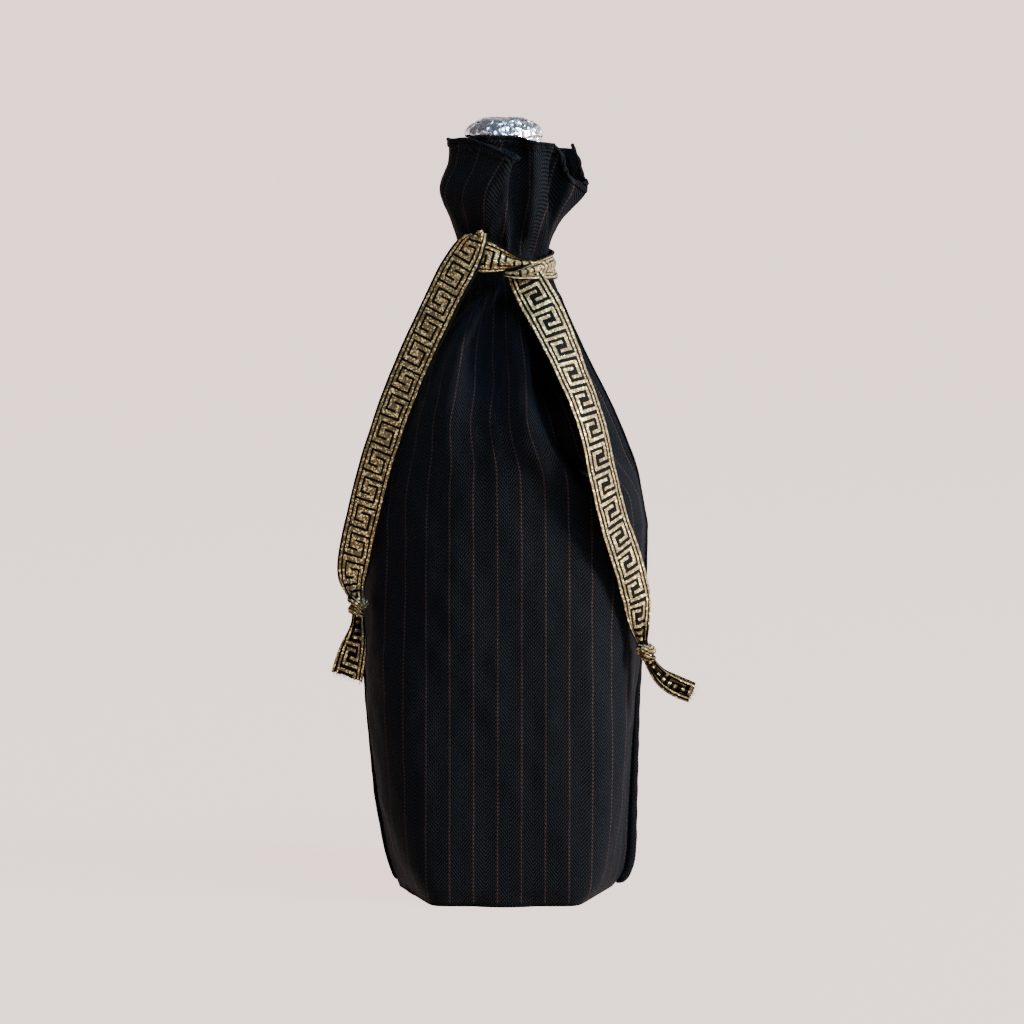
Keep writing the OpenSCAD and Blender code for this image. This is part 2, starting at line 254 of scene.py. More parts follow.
def tube(name, path, radii, materials, sides, slots=lambda i, j: 0, squash=1.0, uv_pitch=1.0):
    """Closed round bar along a path, with a radius for each point of the path.

    slots gives the material of the face at i along and j around, and squash flattens the section.
    """
    path = np.asarray(path, float)
    along = unit(np.gradient(path, axis=0))
    side = np.empty_like(path)
    guess = np.array([0.0, 0.0, 1.0]) if abs(along[0][2]) < 0.9 else np.array([0.0, 1.0, 0.0])
    for i, t in enumerate(along):
        guess = unit(guess - t * np.dot(guess, t))
        side[i] = guess
    up = squash * np.cross(along, side)
    angle = np.arange(sides) * math.tau / sides
    radii = np.broadcast_to(np.asarray(radii, float), (len(path),))
    spokes = side[:, None] * np.cos(angle)[None, :, None] + up[:, None] * np.sin(angle)[None, :, None]
    ring = path[:, None] + radii[:, None, None] * spokes
    verts = np.concatenate([ring.reshape(-1, 3), path[:1], path[-1:]])
    faces, marks = [], []
    for i in range(len(path) - 1):
        for j in range(sides):
            k = (j + 1) % sides
            faces.append((i * sides + j, i * sides + k, (i + 1) * sides + k, (i + 1) * sides + j))
            marks.append(slots(i, j))
    ends = len(path) * sides
    for j in range(sides):
        k = (j + 1) % sides
        faces.append((ends, k, j))
        faces.append((ends + 1, (len(path) - 1) * sides + j, (len(path) - 1) * sides + k))
        marks += [0, 0]
    run = distance(path)
    uv = [(j * uv_pitch, s) for s in run for j in range(sides)] + [(0, 0), (0, run[-1])]
    return make_mesh(name, verts, faces, materials, uv, marks)


# ---------------------------------------------------------------- materials

class Graph:
    """Short way to build the nodes of a material or world. Most methods return an output socket."""

    def __init__(self, name, world=False):
        self.owner = (bpy.data.worlds if world else bpy.data.materials).new(name)
        self.owner.use_nodes = True
        self.tree = self.owner.node_tree

    def node(self, kind, inputs=(), out=0, **settings):
        node = self.tree.nodes.new(kind)
        for key, value in settings.items():
            setattr(node, key, value)
        for key, value in (inputs.items() if isinstance(inputs, dict) else enumerate(inputs)):
            self.feed(node.inputs[key], value)
        return node.outputs[out]

    def feed(self, socket, value):
        if isinstance(value, bpy.types.NodeSocket):
            self.tree.links.new(value, socket)
        else:
            socket.default_value = value

    def math(self, kind, *values, clamp=False):
        return self.node("ShaderNodeMath", values, operation=kind, use_clamp=clamp)

    def step(self, value, low, high):
        """0 below low and 1 above high, smooth between."""
        return self.node("ShaderNodeMapRange", {0: value, 1: low, 2: high, 3: 0.0, 4: 1.0},
                         interpolation_type="SMOOTHSTEP")

    def scale(self, value, low, high):
        return self.node("ShaderNodeMapRange", {0: value, 1: 0.0, 2: 1.0, 3: low, 4: high})

    def mix(self, factor, a, b):
        node = self.tree.nodes.new("ShaderNodeMix")
        node.data_type = "RGBA"
        self.feed(node.inputs[0], factor)
        self.feed(node.inputs[6], a)
        self.feed(node.inputs[7], b)
        return node.outputs[2]

    def noise(self, coords, scale, detail=2.0, rough=0.5):
        return self.node("ShaderNodeTexNoise", {"Vector": coords, "Scale": scale, "Detail": detail,
                                                "Roughness": rough})

    def split(self, vector):
        node = self.tree.nodes.new("ShaderNodeSeparateXYZ")
        self.feed(node.inputs[0], vector)
        return node.outputs

    def uv(self):
        coords = self.node("ShaderNodeUVMap", uv_map="weave")
        u, v, _ = self.split(coords)
        return coords, u, v

    def local(self):
        return self.node("ShaderNodeTexCoord", out="Object")

    def wave(self, value, pitch):
        """Between 0 and 1 and back once in each pitch."""
        phase = self.math("MULTIPLY", value, math.tau / pitch)
        return self.math("MULTIPLY_ADD", self.math("SINE", phase), 0.5, 0.5)

    def bump(self, height, depth, strength):
        return self.node("ShaderNodeBump", {"Strength": strength, "Distance": depth, "Height": height})

    def set(self, **values):
        names = {"base": "Base Color", "rough": "Roughness", "metal": "Metallic", "normal": "Normal",
                 "sheen": "Sheen Weight", "sheen_rough": "Sheen Roughness", "sheen_tint": "Sheen Tint",
                 "specular": "Specular IOR Level", "coat": "Coat Weight",
                 "glow": "Emission Color", "glow_strength": "Emission Strength"}
        for key, value in values.items():
            self.feed(self.tree.nodes["Principled BSDF"].inputs[names[key]], value)
        return self.owner


NAVY_DARK = (0.0004, 0.0004, 0.0004, 1)
NAVY_LIGHT = (0.0093, 0.0083, 0.0083, 1)
NAVY_COOL = (0.0034, 0.0068, 0.0110, 1)
RUST = (0.046, 0.020, 0.015, 1)
TAN = (0.040, 0.028, 0.020, 1)


def suiting(name, striped=True, painted_shade_factor=1.0):
    """Herringbone wool suiting: twill lines that turn back at every pinstripe and halfway between."""
    g = Graph(name)
    if striped:
        coords, u, v = g.uv()
    else:
        coords = g.node("ShaderNodeVectorMath", (g.local(), (1000.0, 1000.0, 1000.0)), operation="MULTIPLY")
        u, y, z = g.split(coords)
        v = g.math("ADD", y, z)
    fuzz = g.noise(coords, 2.6, 3.0, 0.6)
    wobble = g.math("MULTIPLY", g.math("SUBTRACT", fuzz, 0.5), 0.6)
    away = g.math("PINGPONG", g.math("SUBTRACT", u, STRIPE_OFFSET), STRIPE_PITCH / 2)
    slope = g.math("ADD", v, g.math("MULTIPLY", away, TWILL_LEAN))
    twill = g.wave(g.math("ADD", g.math("DIVIDE", slope, DOT_PITCH), wobble), 1.0)
    weave = g.math("MULTIPLY", twill, g.scale(g.wave(u, YARN_PITCH), 0.55, 1.0))
    # Random patches of lighter and darker yarn. A factor below 1, given for the seams and the foot's seam,
    # darkens the whole cloth: painted shade.
    patches = g.scale(g.noise(coords, 0.06, 3.0, 0.6), 0.8 * painted_shade_factor, 1.25 * painted_shade_factor)
    flecks = g.step(g.noise(coords, 7.0, 1.0, 0.5), 0.52, 0.72)
    lit = g.math("MULTIPLY", g.math("MULTIPLY_ADD", flecks, 0.3, weave), patches)
    lit = g.math("POWER", lit, 1.5, clamp=True)
    shades = g.step(g.noise(coords, 1.1, 2.0, 0.7), 0.38, 0.62)
    base = g.mix(lit, NAVY_DARK, g.mix(shades, NAVY_LIGHT, NAVY_COOL))
    height = g.math("ADD", weave, g.math("MULTIPLY", fuzz, 0.35))
    if striped:
        line = g.math("SUBTRACT", 1.0, g.step(away, 0.18, 0.46))
        dot = g.step(g.math("PINGPONG", g.math("DIVIDE", v, DOT_PITCH), 0.5), 0.2, 0.34)
        stitch = g.math("MULTIPLY", line, dot)
        faint = g.math("MULTIPLY", line, 0.10)
        rust = g.math("MAXIMUM", g.math("MULTIPLY", stitch, g.scale(fuzz, 0.3, 1.2)), faint)
        worn = g.scale(g.noise(coords, 0.09, 3.0, 0.7), 0.0, 1.35)
        base = g.mix(g.math("MULTIPLY", rust, worn, clamp=True), base, g.mix(shades, RUST, TAN))
        height = g.math("MULTIPLY_ADD", stitch, 0.9, height)
    return g.set(base=base, rough=g.scale(fuzz, 0.78, 0.98), specular=0.035, sheen=0.006, sheen_rough=0.5,
                 sheen_tint=(0.45, 0.65, 1.0, 1), normal=g.bump(height, 0.00025, 0.8))


def gold_yarn():
    """Gold lurex weft: narrow metallic ribs across the ribbon, with glints painted one by one into random
    cells.
    """
    g = Graph("ribbon_gold")
    coords, u, v = g.uv()
    ribs = g.wave(v, RIB_PITCH)
    rib_shift = g.math("MULTIPLY", g.math("FLOOR", g.math("DIVIDE", v, RIB_PITCH)), 2.1)
    phase = g.math("MULTIPLY_ADD", u, math.tau / FLOAT_PITCH, rib_shift)
    floats = g.math("MULTIPLY_ADD", g.math("SINE", phase), 0.5, 0.5)
    cell = g.node("ShaderNodeTexVoronoi", {"Vector": coords, "Scale": 2.1, "Randomness": 1.0}, out="Color")
    spark = g.node("ShaderNodeSeparateColor", (cell,))
    # Random cells get a bright gold colour and a lower roughness: painted glints.
    glint = g.step(spark, 0.74, 0.95)
    # Colour varies at random from cell to cell and is darker between the ribs: painted shade in the grooves.
    tone_and_painted_shade = g.math("MULTIPLY_ADD", spark, 0.5, g.math("MULTIPLY", ribs, 0.5))
    base = g.mix(tone_and_painted_shade, (0.012, 0.008, 0.002, 1), (0.18, 0.122, 0.030, 1))
    base = g.mix(glint, base, (0.92, 0.74, 0.33, 1))
    height = g.math("ADD", g.math("MULTIPLY", ribs, floats), g.math("MULTIPLY", spark, 0.7))
    rough = g.math("SUBTRACT", 0.50, g.math("MULTIPLY", glint, 0.24))
    return g.set(base=base, metal=0.62, rough=rough, specular=0.5, sheen=0.1,
                 normal=g.bump(height, 0.00009, 0.8))


def black_yarn():
    """Black satin ground of the ribbon."""
    g = Graph("ribbon_black")
    coords, _, v = g.uv()
    ribs = g.wave(v, RIB_PITCH)
    grain = g.noise(coords, 3.0, 2.0)
    base = g.mix(g.math("MULTIPLY", ribs, grain), (0.0005, 0.0005, 0.0005, 1), (0.0024, 0.002, 0.002, 1))
    return g.set(base=base, rough=0.6, specular=0.03,
                 normal=g.bump(g.math("ADD", ribs, grain), 0.00007, 0.7))


def foil():
    """Thin crumpled tin foil: creases, and patches of different polish."""
    g = Graph("foil")
    coords = g.local()
    facets = g.node("ShaderNodeTexVoronoi", {"Vector": coords, "Scale": 300.0}, feature="F1")
    fine = g.noise(coords, 700.0, 2.0, 0.5)
    height = g.math("MULTIPLY_ADD", fine, 0.35, facets)
    base = g.mix(fine, (0.84, 0.86, 0.98, 1), (1.0, 1.0, 1.0, 1))
    return g.set(base=base, metal=1.0, rough=g.scale(fine, 0.18, 0.38),
                 normal=g.bump(height, 0.0012, 0.7))


def bottle_glass():
    g = Graph("bottle_glass")
    dust = g.noise(g.local(), 60.0, 4.0)
    return g.set(base=(0.012, 0.035, 0.012, 1), rough=g.scale(dust, 0.03, 0.12), specular=0.6, coat=0.4,
                 normal=g.bump(g.noise(g.local(), 25.0, 1.0), 0.0004, 0.25))


def cork():
    g = Graph("cork")
    grain = g.noise(g.local(), 420.0, 5.0, 0.65)
    pores = g.step(g.noise(g.local(), 900.0, 1.0), 0.62, 0.72)
    base = g.mix(grain, (0.34, 0.19, 0.09, 1), (0.68, 0.47, 0.28, 1))
    base = g.mix(pores, base, (0.13, 0.06, 0.03, 1))
    return g.set(base=base, rough=0.88, normal=g.bump(grain, 0.0004, 0.6))


def thread():
    g = Graph("thread")
    _, u, v = g.uv()
    twist = g.wave(g.math("ADD", u, v), math.tau / 9)
    base = g.mix(twist, (0.0006, 0.0006, 0.0008, 1), (0.003, 0.003, 0.004, 1))
    return g.set(base=base, rough=0.8, specular=0.05, normal=g.bump(twist, 0.00008, 0.7))


def studio_paper():
    g = Graph("studio_paper")
    return g.set(base=(0.055, 0.05, 0.049, 1), rough=1.0, specular=0.0, glow=(2.07, 1.63, 1.49, 1),
                 glow_strength=1.0)


SUITING = suiting("suiting")
SUITING_PLAIN = suiting("suiting_plain", striped=False)
# Seam cloth a little darker, and the foot's seam much darker, than the bag's suiting: painted shade on the
# same cloth.
SEAM_CLOTH = suiting("suiting_seam", striped=False, painted_shade_factor=0.8)
SEAM_PAINTED_SHADE = suiting("suiting_base_seam_painted_shade", striped=False, painted_shade_factor=0.35)
GOLD = gold_yarn()
BLACK = black_yarn()
FOIL = foil()
THREAD = thread()


# ---------------------------------------------------------------- the bag's cloth

def body_at(z):
    return [np.interp(z, BODY[:, 0], BODY[:, k]) for k in range(1, BODY.shape[1])]


def body_section(z, low, high):
    """Plain section of the bag at height z between two directions in degrees, -90 being the front."""
    left, right, depth, square, cut = body_at(z)
    a = np.radians(np.linspace(low, high, SECTION_POINTS))
    half = np.where(np.cos(a) < 0, left, right)
    across = np.abs(np.cos(a)) / half + np.abs(np.sin(a)) * cut
    r = 1 / (across ** square + (np.abs(np.sin(a)) / depth) ** square) ** (1 / square)
    x, y = r * np.cos(a), r * np.sin(a)
    pulled = SEAM_FORWARD * rise(z, *SEAM_TURNS) * rise(x, *SEAM_REACH)
    return np.stack([x, y - pulled * (1 - (y / depth) ** 2), np.full_like(a, z)], axis=1)


def plain_row(z, low, high):
    """Panel's columns on the plain section: even near the middle, closed up towards the seams."""
    section = body_section(z, low, high)
    along = distance(section)
    middle = along[np.argmin(np.abs(section[:, 0]))]
    place = np.linspace(-PANEL_W / 2, PANEL_W / 2, COLUMNS + 1)
    reach = np.where(place < 0, middle, along[-1] - middle)
    over = np.maximum(np.abs(place) - STEADY, 0) * (reach - STEADY) / (PANEL_W / 2 - STEADY)
    want = middle + np.sign(place) * (np.minimum(np.abs(place), STEADY) + over)
    return np.stack([np.interp(want, along, section[:, k]) for k in range(3)], axis=1)


def fold_net(folds):
    """Array (lines, levels, 3) of the fold lines, with each level's height where a point gives none."""
    return np.array([[point if len(point) == 3 else (*point, LEVEL_Z[level])
                      for level, point in enumerate(line)] for line in folds], float)


def back_folds():
    """Lines of the back panel from the right seam to the left one, as pleats that deepen at the tie."""
    right, left = FRONT_FOLDS["right_seam"], FRONT_FOLDS["left_seam"]
    last = len(BACK_RIM) - 1
    lines = []
    for m in range(last + 1):
        b = math.pi * m / last
        line = []
        for level, depth in enumerate(BACK_DEPTH):
            half = right[level][0] if b < math.pi / 2 else -left[level][0]
            seam_y = right[level][1] * max(0, math.cos(b)) ** 2
            r = 1 / math.sqrt((math.cos(b) / half) ** 2 + (math.sin(b) / depth) ** 2)
            inner = 0 < m < last
            r *= 1 + (BACK_PLEAT[level] * (-1 if m % 2 else 1) if inner else 0)
            z = BACK_RIM[m] if level == 0 else LEVEL_Z[level]
            if level in (1, 2) and m == 0:
                z = right[level][2]
            line.append((r * math.cos(b), r * math.sin(b) + seam_y, z))
        lines.append(line)
    return lines


def panel_grid(folds, low, high):
    """Rows of a panel from the rim down: fold lines above, running into the plain section below."""
    net = fold_net(folds)
    tie, foot = 4, len(LEVEL_Z) - 1
    levels = np.concatenate([np.linspace(0, tie, PANEL_ROWS[0], endpoint=False),
                             np.linspace(tie, foot, PANEL_ROWS[1], endpoint=False)])
    grid = []
    for level in levels:
        points = np.array([catmull(line, level)[0] for line in net])
        row = even(catmull(points, np.linspace(0, len(points) - 1, FOLD_POINTS)), COLUMNS + 1)
        blend = ease(level - (foot - 1.4))
        if blend > 0:
            plain = plain_row(np.interp(level, range(1, foot + 1), LEVEL_Z[1:]), low, high)
            row = row * (1 - blend) + plain * blend
        grid.append(row)
    grid += [plain_row(z, low, high) for z in LEVEL_Z[-1] * (1 - np.linspace(0, 1, PANEL_ROWS[2]))]
    return np.array(grid)


def add_wrinkles(grid, seed):
    """Slow waves and small puckers, dying out at the foot and at the panel's edges; thicker at the hem."""
    rows, cols = grid.shape[:2]
    down = np.concatenate([np.zeros((1, cols)),
                           np.cumsum(np.linalg.norm(np.diff(grid, axis=0), axis=2), axis=0)])
    u = np.broadcast_to(np.linspace(-PANEL_W / 2, PANEL_W / 2, cols), (rows, cols))
    height = down[-1] - down
    calm = ease(height / 25) * ease((PANEL_W / 2 - np.abs(u)) / 8)
    waves = (0.55 * ripple(u * 1.6, height * 0.45, 34, seed)
             + 0.22 * ripple(u * 1.3, height * 0.6, 13, seed + 1))
    puckers = 0.07 * ripple(u, height, 4.5, seed + 2) * rise(height, 180, 240)
    hem = HEM_BULK * ease((HEM_DEPTH - down) / 0.5)
    push = waves * calm * (0.35 + 0.65 * ease(height / 90)) + puckers + hem
    across = np.array([distance(row) for row in grid])
    true = across - across[:, cols // 2, None]
    z = grid[:, cols // 2, 2, None]
    low = ease((165 - z) / 20)
    weave = (u * (1 - low) + true * low) * (1 - COLLAR_FULLNESS * rise(z, 242, 250))
    return grid - inward_normals(grid) * push[..., None], np.stack([weave, height], axis=2)


def clear_of_bottle(grid):
    """Cloth rests on the bottle: points that fall inside it are brought out to its surface."""
    z = grid[..., 2]
    radius = np.interp(z, BOTTLE_Z, BOTTLE_R)
    radius = np.where(z > SKIRT_Z, SKIRT_R, radius) + CLOTH_T + BOTTLE_GAP
    flat = np.maximum(np.hypot(grid[..., 0], grid[..., 1]), 0.1)
    push = np.maximum(1, radius / flat)
    return grid * np.stack([push, push, np.ones_like(push)], axis=2)


FRONT_GRID, FRONT_UV = add_wrinkles(clear_of_bottle(panel_grid(FRONT_FOLDS.values(), -180, 0)), 11)
BACK_GRID, BACK_UV = add_wrinkles(clear_of_bottle(panel_grid(back_folds(), 0, 180)), 23)


def sew_edges():
    """Bring the two panels' side edges together, so that no gap opens along the seams."""
    for a, b in ((0, -1), (-1, 0)):
        middle = (FRONT_GRID[:, a] + BACK_GRID[:, b]) / 2
        FRONT_GRID[:, a] = middle
        BACK_GRID[:, b] = middle


sew_edges()
front_cloth = shell("front_cloth", FRONT_GRID, FRONT_UV, CLOTH_T, [SUITING])
back_cloth = shell("back_cloth", BACK_GRID, BACK_UV, CLOTH_T, [SUITING])


def rim_hem(name, grid):
    """Rolled edge of the hem: a soft bead along the rim, sunk a little into it."""
    sunk = 0.35
    rim = even(grid[0], 260) - np.array([0, 0, sunk])
    outward = unit(rim * np.array([1, 1, 0]))
    radius = 0.72 + 0.06 * np.sin(distance(rim) * 1.3)
    return tube(name, rim - outward * sunk, radius, [SEAM_CLOTH], sides=10)


def seam_ridge(name, grid, column, widths):
    """Bulky side seam: the allowance makes a soft ridge, widths giving its radius and offset by height."""
    widths = np.array(widths)
    line = grid[:, column]
    line = line[(line[:, 2] > widths[0, 0]) & (line[:, 2] < widths[-1, 0])]
    offset = np.interp(line[:, 2], widths[:, 0], widths[:, 2])
    path = even(line + offset[:, None] * np.array([1, 0, 0]), 220)
    radius = np.interp(path[:, 2], widths[:, 0], widths[:, 1]) * (1 + 0.05 * np.sin(path[:, 2] * 0.7))
    ends = np.minimum(path[:, 2] - path[-1, 2], path[0, 2] - path[:, 2])
    return tube(name, path, radius * np.sqrt(np.clip(ends / 1.8, 0.02, 1)), [SEAM_CLOTH], sides=14)


def foot_edge():
    """Seam that joins the panels to the base, rolled under the front edge of the foot. Its much darker cloth
    is painted shade.
    """
    radius = 0.75
    row = FRONT_GRID[-1, 4:-4] * np.array([0.992, 0.992, 0]) + np.array([0, 0, radius])
    return tube("foot_edge", even(row, 240), radius, [SEAM_PAINTED_SHADE], sides=10)


def stitches(name, points):
    """Row of short stitches along a line, each one a small round-ended bar."""
    line = even(points, int(distance(points)[-1] / STITCH_PITCH))
    along = unit(np.gradient(line, axis=0))
    outward = unit(line * np.array([1, 1, 0]))
    verts, faces, uv = [], [], []
    profile = ((-0.5, 0.35), (-0.42, 1), (0, 1.15), (0.42, 1), (0.5, 0.35))
    sides = 6
    for p, t, o in zip(line, along, outward):
        side = np.cross(t, o)
        start = len(verts)
        for run, fat in profile:
            for k in range(sides):
                a = k * math.tau / sides
                spoke = (side * math.cos(a) + o * math.sin(a)) * THREAD_R * fat
                verts.append(p + o * STITCH_LIFT + t * run * STITCH + spoke)
                uv.append((k * THREAD_R, run * STITCH))
        for ring in range(start, start + (len(profile) - 1) * sides, sides):
            for k in range(sides):
                m = (k + 1) % sides
                faces.append((ring + k, ring + m, ring + sides + m, ring + sides + k))
        faces.append(tuple(range(start, start + sides))[::-1])
        faces.append(tuple(range(len(verts) - sides, len(verts))))
    return make_mesh(name, verts, faces, [THREAD], uv)


front_rim = rim_hem("front_rim_hem", FRONT_GRID)
back_rim = rim_hem("back_rim_hem", BACK_GRID)
# Height, radius and offset of the ridge along each side seam
LEFT_SEAM = ((2.5, 0.8, -0.2), (40, 0.9, -0.5), (120, 0.6, -0.2), (200, 0.45, -0.1), (235, 0.4, 0))
RIGHT_SEAM = ((1.2, 1.3, 0.4), (2.5, 1.7, 0.9), (5, 1.9, 1.3), (9, 2.0, 1.5), (15, 2.0, 1.6), (35, 1.8, 1.4),
              (75, 1.5, 1.1), (115, 0.8, 0.5), (150, 0.5, 0.2), (200, 0.45, 0.1), (235, 0.4, 0))
left_ridge = seam_ridge("left_seam_ridge", FRONT_GRID, 0, LEFT_SEAM)
right_ridge = seam_ridge("right_seam_ridge", FRONT_GRID, -1, RIGHT_SEAM)
base_edge = foot_edge()


def hem_stitch_line(grid):
    """The row of the panel that the hem's stitches follow."""
    down = distance(grid[:, COLUMNS // 2])[1:]
    return grid[np.argmin(np.abs(down - HEM_LINE)), 3:-3]


hem_line = np.concatenate([hem_stitch_line(FRONT_GRID), hem_stitch_line(BACK_GRID)])
hem_stitches = stitches("hem_stitches", hem_line)
SEAM_ROWS = slice(64, 262)  # from just below the tie to just above the foot
left_stitches = stitches("left_seam_stitches", FRONT_GRID[SEAM_ROWS, 4])
right_stitches = stitches("right_seam_stitches", FRONT_GRID[SEAM_ROWS, -5])


# ---------------------------------------------------------------- ribbon

# Black parts of the woven key on the front of the ribbon: from and to along one repeat, then across. The
# borders run along it without a break.
KEY_REPEAT = 11.1
KEY_HOOKS = ((0, 0.95, 2.75, 11.15), (5.1, 12.05, 10.2, 11.15), (5.1, 6.05, 6.6, 11.15),
             (2.7, 3.65, 3.85, 12.25), (2.7, 9.4, 3.85, 4.8), (8.45, 9.4, 3.85, 8.4))
KEY_BORDERS = ((0, 1.0), (2.0, 2.75), (12.25, 13.0), (14.0, 15.0))
# On the back the same parts are gold, and their floats spread this much over the black beside them
BACK_SPREAD = 0.12


def key_hooks(spread):
    """Hooks of the pattern, grown on every side by spread."""
    return [(a - spread, b + spread, c - spread, d + spread) for a, b, c, d in KEY_HOOKS]


def in_key(u, v, spread):
    """Whether the key pattern covers u along the ribbon and v across from the left edge of its front."""
    return (any(a < v < b for a, b in KEY_BORDERS)
            or any(a < u % KEY_REPEAT + turn < b and c < v < d for a, b, c, d in key_hooks(spread)
                   for turn in (-KEY_REPEAT, 0, KEY_REPEAT)))


def key_lines(spread):
    """Places where the pattern changes, across the ribbon and along one repeat."""
    hooks = key_hooks(spread)
    across = {v for pair in KEY_BORDERS for v in pair} | {v for h in hooks for v in h[2:]}
    along = {0.0} | {u % KEY_REPEAT for h in hooks for u in h[:2]}
    return sorted(round(v, 3) for v in across), sorted({round(u, 3) for u in along})


def split_lines(edges, most):
    """The boundaries with extra lines between them, so that none are further apart than most."""
    lines = [edges[0]]
    for a, b in zip(edges[:-1], edges[1:]):
        parts = max(1, math.ceil((b - a) / most))
        lines += [a + (b - a) * k / parts for k in range(1, parts + 1)]
    return np.array(lines)


def ribbon(name, route, start, seed, reverse=False, cup=0.0, skew=0.0, pleats=3.0, fringe=0.0):
    """Strip of patterned ribbon along a route of (x, y, z, face x, face y, face z, width).

    start is the place in the pattern where the strip begins, reverse shows its back to the viewer, cup
    bends it across, and skew moves one edge ahead of the other at the start, as at a diagonal fold.
    Where the width is less than the ribbon's own, the rest goes into pleats, and fringe roughens the end.
    """
    route = np.asarray(route, float)
    fine = catmull(route, np.linspace(0, len(route) - 1, 60 * len(route)))
    run = distance(fine[:, :3])
    spread = BACK_SPREAD if reverse else 0.0
    lines_across, lines_along = key_lines(spread)
    first, end, margin = math.floor(start / KEY_REPEAT), start + run[-1], 0.02
    edges = [start]
    for repeat in range(first, first + int(run[-1] / KEY_REPEAT) + 3):
        places = [repeat * KEY_REPEAT + a for a in lines_along]
        edges += [place for place in places if start + margin < place < end - margin]
    along = split_lines(edges + [end], FACE_SIZE)
    across = split_lines(lines_across, FACE_SIZE)
    at = np.stack([np.interp(along - start, run, fine[:, k]) for k in range(7)], axis=1)
    centre, width = at[:, :3], at[:, 6]
    tangent = unit(np.gradient(centre, axis=0))
    side = unit(np.cross(at[:, 3:6], tangent))
    out = unit(np.cross(tangent, side))
    share = across / RIBBON_W - 0.5
    gather = np.clip(1 - width / RIBBON_W, 0, 1)
    u, s = np.meshgrid(along - start, share, indexing="ij")
    ease_in = np.clip(1 - u / 16.0, 0, 1)
    pleat_depth = 1.9 * gather[:, None]
    lift = cup * (1 - (2 * s) ** 2)
    lift = lift + pleat_depth * np.cos(math.tau * pleats * s + 0.8) * np.minimum(1, gather[:, None] * 2)
    lift = lift + 0.16 * ripple(u, s * RIBBON_W, 13, seed) + 0.05 * ripple(u, s * RIBBON_W, 4, seed + 1)
    shift = skew * s * ease_in ** 2
    middle = (centre[:, None] + side[:, None] * (s * width[:, None])[..., None]
              + out[:, None] * lift[..., None] + tangent[:, None] * shift[..., None])
    if fringe:
        jag = fringe * (0.35 + 0.65 * np.abs(ripple(share * 60, share * 0, 5.0, seed + 5)))
        middle[-1] += tangent[-1] * (jag * (RNG.uniform(-0.6, 1.0, len(share))))[:, None]
    normal = unit(np.cross(np.gradient(middle, axis=1), np.gradient(middle, axis=0)))
    normal *= np.sign(np.sum(normal * out[:, None], axis=2, keepdims=True) + 1e-9)
    half = normal * RIBBON_T / 2
    verts = np.concatenate([(middle + half).reshape(-1, 3), (middle - half).reshape(-1, 3)])
    woven = np.array([[in_key(um, vm, spread) for vm in (across[:-1] + across[1:]) / 2]
                      for um in (along[:-1] + along[1:]) / 2])
    shown = ~woven[:, ::-1] if reverse else woven
    faces = np.concatenate(sheet_faces(*middle.shape[:2]))
    slots = np.ones(len(faces), int)
    slots[:2 * shown.size] = np.concatenate([shown.ravel(), ~shown.ravel()])
    uv = np.stack([s * RIBBON_W, u + start], axis=2).reshape(-1, 2)
    return make_mesh(name, verts, faces, [GOLD, BLACK], np.concatenate([uv, uv]), slots)


def facing(degrees):
    """Direction that a ribbon faces: 0 is straight to the front, positive turns to the right."""
    a = math.radians(degrees)
    return math.sin(a), -math.cos(a), FACE_TILT


def stations(rows):
    """Stations from rows of (x, y, z, direction in degrees, width)."""
    return [(x, y, z, *facing(turn), width) for x, y, z, turn, width in rows]


LEFT_TAIL = stations([
    (-9.6, -24.6, 258.2, -16, 4.6), (-11.7, -24.4, 255.2, -20, 10.4), (-14.2, -23.8, 250.4, -24, 13.8),
    (-17.8, -23.6, 243.8, -26, 15), (-21.2, -23.6, 237.4, -27, 15), (-25.3, -23.5, 229, -28, 15),
    (-33.6, -23.4, 211, -28, 15), (-40.8, -23.2, 193.5, -28, 15), (-46.4, -23.4, 177, -28, 15),
    (-50.0, -23.2, 165, -28, 15), (-53.6, -22.8, 150.5, -28, 15), (-56.8, -22, 136, -26, 14.6),
    (-58.2, -21.6, 127, -22, 12.6), (-57.6, -22, 121, -18, 8.4), (-56.6, -22.2, 117.6, -14, 5.2)])
RIGHT_TAIL = stations([
    (7.0, -21.2, 244.6, 4, 11.5), (8.8, -23.4, 240.4, 8, 13.4), (12.0, -26.2, 234.6, 12, 14.4),
    (15.9, -29.4, 227.8, 20, 15), (20.6, -33, 218, 30, 15), (25.8, -37.6, 206, 40, 15),
    (30.8, -40.8, 194, 46, 15), (34.4, -41.6, 182, 47, 15), (38.2, -40, 164, 46, 15),
    (42.2, -36.4, 148, 44, 15), (47.2, -31.8, 132.5, 40, 14.8), (50.8, -28.4, 118, 34, 13),
    (51.6, -27, 109, 26, 9), (52.4, -26, 102.6, 20, 5), (53.0, -25.6, 99.8, 20, 4.2)])
LEFT_TIP = stations([
    (-56.2, -22, 112, -10, 4.4), (-56.4, -22.2, 107.6, -14, 5.4), (-57.0, -22.6, 103, -20, 8.2),
    (-58.2, -22.8, 97.6, -26, 11.6), (-59.4, -22.6, 92.6, -28, 13.2), (-60.6, -22.2, 87.2, -28, 14)])
RIGHT_TIP = stations([
    (55.0, -25.4, 96.4, 20, 4.0), (57.0, -25.4, 92.4, 24, 4.6), (60.0, -25.8, 88.4, 26, 6.2),
    (63.6, -26.2, 85.6, 20, 7.6), (67.8, -26.6, 83.4, 8, 8.0), (72.2, -26.8, 81.6, 0, 7.8)])
